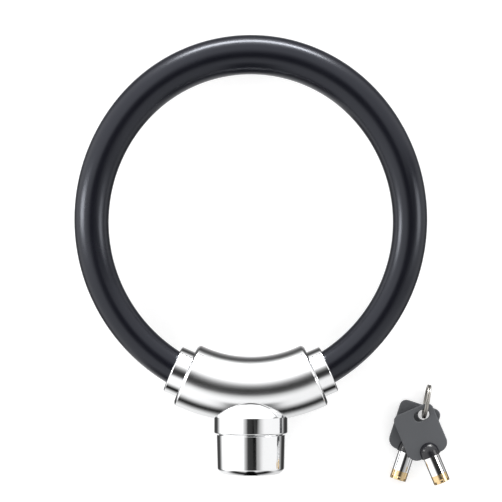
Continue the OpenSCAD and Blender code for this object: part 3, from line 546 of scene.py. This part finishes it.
steel = turned_metal("turned_steel", (0.66, 0.66, 0.67), (0.5, 0.5, 0.51), 0.2, 2400.0)
brass = turned_metal("turned_brass", (0.74, 0.56, 0.27), (0.6, 0.43, 0.19), 0.24, 2000.0)
rope_steel = turned_metal("rope_steel", (0.52, 0.53, 0.55), (0.36, 0.37, 0.39), 0.35, 3500.0)
for paint, names in (
        (steel, ("fixed_stud", "free_stud", "fixed_stud_pin", "barrel_pin", "crank", "crank_pin", "key_pins",
                 "driver_pins", "driver_springs")),
        (brass, ("pin_housing", "rotor", "spring_cover", "locking_bolt")),
        (rope_steel, ("rope_1", "rope_2", "rope_3", "rope_4", "rope_5"))):
    for name in names:
        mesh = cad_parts[name].data
        mesh.materials.clear()
        mesh.materials.append(paint)


# ---- Keys. A chromed steel tube with a nib and milled notches at its brass-coloured tip, moulded into a
# flat grey plastic bow: a rounded rectangle with a slot, and an arched black boss over the tube.
ring_foot = np.array((76.85, -85.5, 0))
bow_hole = np.array((3.2, -1.2, 0))
key_half, bore_half, key_reach, key_top, bore_floor = 3.7, 2.8, 32.0, 15.5, 19.6
bitting, mill_r = np.array((1.2, 0.5, 1.8, 0.9, 1.5, 0.6, 1.1)), 0.7
nib_half, nib_length = 0.7, 1.6
around_tube, tip_row = 144, 4
bow_half_t, bow_edge = 1.2, 0.5
bow_corners = np.array([(-9.3, 3), (9.3, 3), (9.3, -19.2), (-9.3, -19.2)])
bow_rounds = np.array([3.0, 3.0, 4.4, 4.4])


def hung(rows, turn, slot_at):
    """Turns a key's points by turn degrees about its slot, and puts that slot at slot_at."""
    c, s = math.cos(math.radians(turn)), math.sin(math.radians(turn))
    return (rows - bow_hole) @ np.array([(c, s, 0), (-s, c, 0), (0, 0, 1)]) + slot_at


def key_tube_rows():
    """Circles down the tube and back up its bore. At each notch, within its depth of the tip, the radius dips
    to r = R cos f - sqrt(m^2 - (R sin f)^2), where R is the tube's radius, m that of the milling cutter, and
    f the angle from the notch's middle. Faces from row tip_row on are brass-coloured."""
    y = np.concatenate([[key_top, key_top, 20, 24, 28], np.sort(np.concatenate(
        [key_reach - bitting - 0.03, key_reach - bitting + 0.03])), [key_reach - 0.12, key_reach]])
    outer = np.concatenate([[1.5], np.full(len(y) - 2, key_half), [key_half - 0.12]])
    t = np.linspace(0, 2 * np.pi, around_tube, endpoint=False)
    radius = np.repeat(outer[:, None], len(t), 1)
    for k, depth in enumerate(bitting):
        f = t - (np.pi / 2 + np.pi / 4 * (k + 1))
        dip = key_half * np.cos(f) - np.sqrt(np.maximum(mill_r ** 2 - (key_half * np.sin(f)) ** 2, 0))
        near = (np.abs(key_half * np.sin(f)) < mill_r) & (np.cos(f) > 0)
        milled = near[None] & (y > key_reach - depth)[:, None]
        radius = np.where(milled, np.minimum(dip[None], radius), radius)
    inner_y = np.array([key_reach, key_reach - 0.1, key_reach - 3, bore_floor, bore_floor])
    inner = np.array([bore_half + 0.1, bore_half, bore_half, bore_half, 1.0])
    y = np.concatenate([y, inner_y])
    radius = np.vstack([radius, np.repeat(inner[:, None], len(t), 1)])
    return tube_rows(-y[:, None] * (0, 1, 0), (0, -1, 0), (1, 0, 0), radius, t)[0]


def rounded_outline(corners, rounds, steps=8):
    """A polygon's outline with each corner turned into an arc that is tangent to both its sides. The arc's
    middle is round / sin(half the corner) in from the corner, and it touches round / tan(half) along each."""
    before, after = np.roll(corners, 1, 0) - corners, np.roll(corners, -1, 0) - corners
    before, after = (v / np.linalg.norm(v, axis=1)[:, None] for v in (before, after))
    half = np.arccos((before * after).sum(1)) / 2
    middle = before + after
    middle /= np.linalg.norm(middle, axis=1)[:, None]
    rounds = np.broadcast_to(rounds, half.shape)
    centre = corners + middle * (rounds / np.sin(half))[:, None]
    first = corners + before * (rounds / np.tan(half))[:, None] - centre
    last = corners + after * (rounds / np.tan(half))[:, None] - centre
    w = np.linspace(0, 1, steps + 1)[None, :, None]
    sweep = (np.pi - 2 * half)[:, None, None]
    arcs = (np.sin((1 - w) * sweep) * first[:, None] + np.sin(w * sweep) * last[:, None]) / np.sin(sweep)
    return (centre[:, None] + arcs).reshape(-1, 2)


def bow_rows():
    """Rings from the slot's outline out to the plate's outline and back below. Both outlines are met by the
    same rays from the slot's middle, and every edge is a quarter circle of bow_edge."""
    plate_edge = rounded_outline(bow_corners, bow_rounds, 10)
    plate_edge = np.vstack([np.linspace(p, q, 2 + 8 * int(np.linalg.norm(q - p) > 2), endpoint=False)
                            for p, q in zip(plate_edge, np.roll(plate_edge, -1, 0))])
    ray = plate_edge - bow_hole[:2]
    angle = np.arctan2(ray[:, 1], ray[:, 0])
    c, s = np.abs(np.cos(angle)), np.abs(np.sin(angle))
    slot_end, slot_r = 1.4, 2.2
    on_flat = c * slot_r <= s * slot_end
    reach = np.where(on_flat, slot_r / np.maximum(s, 1e-6),
                     c * slot_end + np.sqrt(np.maximum(slot_r ** 2 - (slot_end * s) ** 2, 0)))
    slot = bow_hole[:2] + reach[:, None] * np.stack([np.cos(angle), np.sin(angle)], -1)

    def normals(outline):
        """Outward directions: a quarter turn from the way between each point's neighbours."""
        step = np.roll(outline, -1, 0) - np.roll(outline, 1, 0)
        step /= np.linalg.norm(step, axis=1)[:, None]
        out = np.stack([step[:, 1], -step[:, 0]], -1)
        return out * np.sign((out * (outline - bow_hole[:2])).sum())

    q = np.radians(np.linspace(90, 0, 6))
    inset = bow_edge * (1 - np.cos(q))
    height = bow_half_t - bow_edge + bow_edge * np.sin(q)
    rings = [(slot + normals(slot) * d, z) for d, z in zip(inset[::-1], height[::-1])]
    rings += [(plate_edge - normals(plate_edge) * d, z) for d, z in zip(inset, height)]
    rings += [(plate_edge - normals(plate_edge) * d, -z) for d, z in zip(inset[::-1], height[::-1])]
    rings += [(slot + normals(slot) * d, -z) for d, z in zip(inset, height)]
    return np.stack([np.column_stack([ring, np.full(len(ring), z)]) for ring, z in rings])


def nib_rows():
    """Rounded rectangles stacked from the tube's wall out to the nib's top, drawn in at its upper edge."""
    block = rounded_outline(np.array([(-nib_half, -key_reach), (nib_half, -key_reach),
                                      (nib_half, nib_length - key_reach),
                                      (-nib_half, nib_length - key_reach)]), 0.2, 4)
    middle = block.mean(0)
    levels = ((2.95, 1.0), (4.3, 1.0), (4.4, 0.96), (4.45, 0.86))
    return np.stack([np.column_stack([middle + (block - middle) * k, np.full(len(block), z)])
                     for z, k in levels])


arch_r, arch_y, arch_foot, arch_edge = 4.4, -17.4, -19.6, 0.35
arch = np.vstack([rounding(arch_y, 0, arch_r, 3, 90, 20), [(arch_foot + arch_edge, arch_r)],
                  rounding(arch_foot + arch_edge, arch_r - arch_edge, arch_edge, 90, 180, 5)[1:],
                  [(arch_foot, 3.0)]])
arch_rows = tube_rows(arch[:, :1] * (0, 1, 0), (0, -1, 0), (1, 0, 0), arch[:, 1], 72)[0]


def moulded(name, light, dark, rough, shine):
    """Moulded plastic: a fine spark-eroded grain, faint flow marks in its tone, and an even sheen."""
    paint = bpy.data.materials.new(name)
    tree, add = node_tree(paint)
    place = add("ShaderNodeTexCoord").outputs["Object"]
    speck = add("ShaderNodeTexNoise", {"Vector": place, "Scale": 3200.0, "Detail": 2.0}).outputs[0]
    flow = add("ShaderNodeTexNoise", {"Vector": place, "Scale": 90.0, "Detail": 3.0}).outputs[0]
    tone = add("ShaderNodeMix", {0: flow, 6: (*dark, 1), 7: (*light, 1)}, data_type="RGBA").outputs[2]
    spark = add("ShaderNodeBump", {"Height": speck, "Strength": 0.12, "Distance": 0.00004}).outputs[0]
    plastic = add("ShaderNodeBsdfPrincipled", {"Base Color": tone, "Roughness": rough, "Normal": spark,
                                               "Specular IOR Level": shine})
    add("ShaderNodeOutputMaterial", {"Surface": plastic.outputs[0]})
    return paint


bow_grey = moulded("grey_bow", (0.112, 0.116, 0.124), (0.098, 0.102, 0.11), 0.5, 0.3)
collar_black = moulded("collar_black", (0.014, 0.014, 0.018), (0.009, 0.009, 0.012), 0.25, 0.55)
tip_brass = turned_metal("key_tip", (0.86, 0.66, 0.38), (0.74, 0.53, 0.28), 0.16, 2600.0)
for body, turn, from_foot in (("upper_key", 23.0, (-1.3, 0, -6.05)),
                              ("lower_key", -18.0, (1.0, -0.5, -11.9))):
    slot_at = ring_foot + from_foot
    tube = skin(body + "_stem", hung(key_tube_rows(), turn, slot_at))
    tube.data.materials.append(chrome)
    tube.data.materials.append(tip_brass)
    row_of_face = np.arange(len(tube.data.polygons)) // around_tube
    tube.data.polygons.foreach_set("material_index", (row_of_face >= tip_row).astype(np.int32))
    nib = skin(body + "_nib", hung(nib_rows(), turn, slot_at))
    nib.data.materials.append(tip_brass)
    plate = skin(body + "_plate", hung(bow_rows(), turn, slot_at), ends="ring")
    cap = skin(body + "_arch", hung(arch_rows, turn, slot_at))
    plate.data.materials.append(bow_grey)
    cap.data.materials.append(collar_black)
    for piece, node, finish in ((tube, "tube", "chrome"), (nib, "tube", "chrome"),
                                (plate, "bow", "bow_plastic"), (cap, "bow", "bow_plastic")):
        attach(piece, body)
        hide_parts(f"{body}_{node}")


# ---- Split ring. Flat spring-steel wire, nickel plated and wound in two touching turns, with one step from
# turn to turn. It stands on edge through both bows' slots.
ring_line_r, wire_t, wire_w, turn_gap, ring_play, ring_z = 6.85, 1.5, 0.82, 0.88, 0.8, -8.7
lean = math.radians(-10)
ring_side = np.array((math.cos(lean), math.sin(lean), 0))
ring_up = np.array((-math.sin(lean), math.cos(lean), 0))
ring_middle = ring_foot + (ring_line_r - ring_play) * ring_up + (0, 0, ring_z)
wire = rounded_outline(np.array([(-wire_t / 2, -wire_w / 2), (wire_t / 2, -wire_w / 2),
                                 (wire_t / 2, wire_w / 2), (-wire_t / 2, wire_w / 2)]), 0.3, 4)
# The wire goes twice round, all but end_gap. Its step over is 3 w^2 - 2 w^3, where w goes from 0 to 1 within
# step_length from step_start, all in radians.
end_gap, step_start, step_length = 0.25, 2 * np.pi - 0.5, 0.6
turn = np.linspace(0, 2 * (2 * np.pi) - end_gap, 260)
step_over = np.clip((turn - step_start) / step_length, 0, 1)
offset = (step_over * step_over * (3 - 2 * step_over) - 0.5) * turn_gap
start_at = math.radians(200)
out = (np.cos(turn + start_at)[:, None] * ring_up + np.sin(turn + start_at)[:, None] * np.array((0, 0, 1)))
centre = ring_middle + ring_line_r * out + offset[:, None] * ring_side
rows = centre[:, None] + wire[None, :, :1] * out[:, None] + wire[None, :, 1:] * ring_side
ring_wire = skin("split_ring_wire", rows)
nickel = turned_metal("nickel_wire", (0.44, 0.425, 0.395), (0.32, 0.305, 0.28), 0.3, 1800.0)
ring_wire.data.materials.append(nickel)
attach(ring_wire, "split_ring")
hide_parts("key_ring")
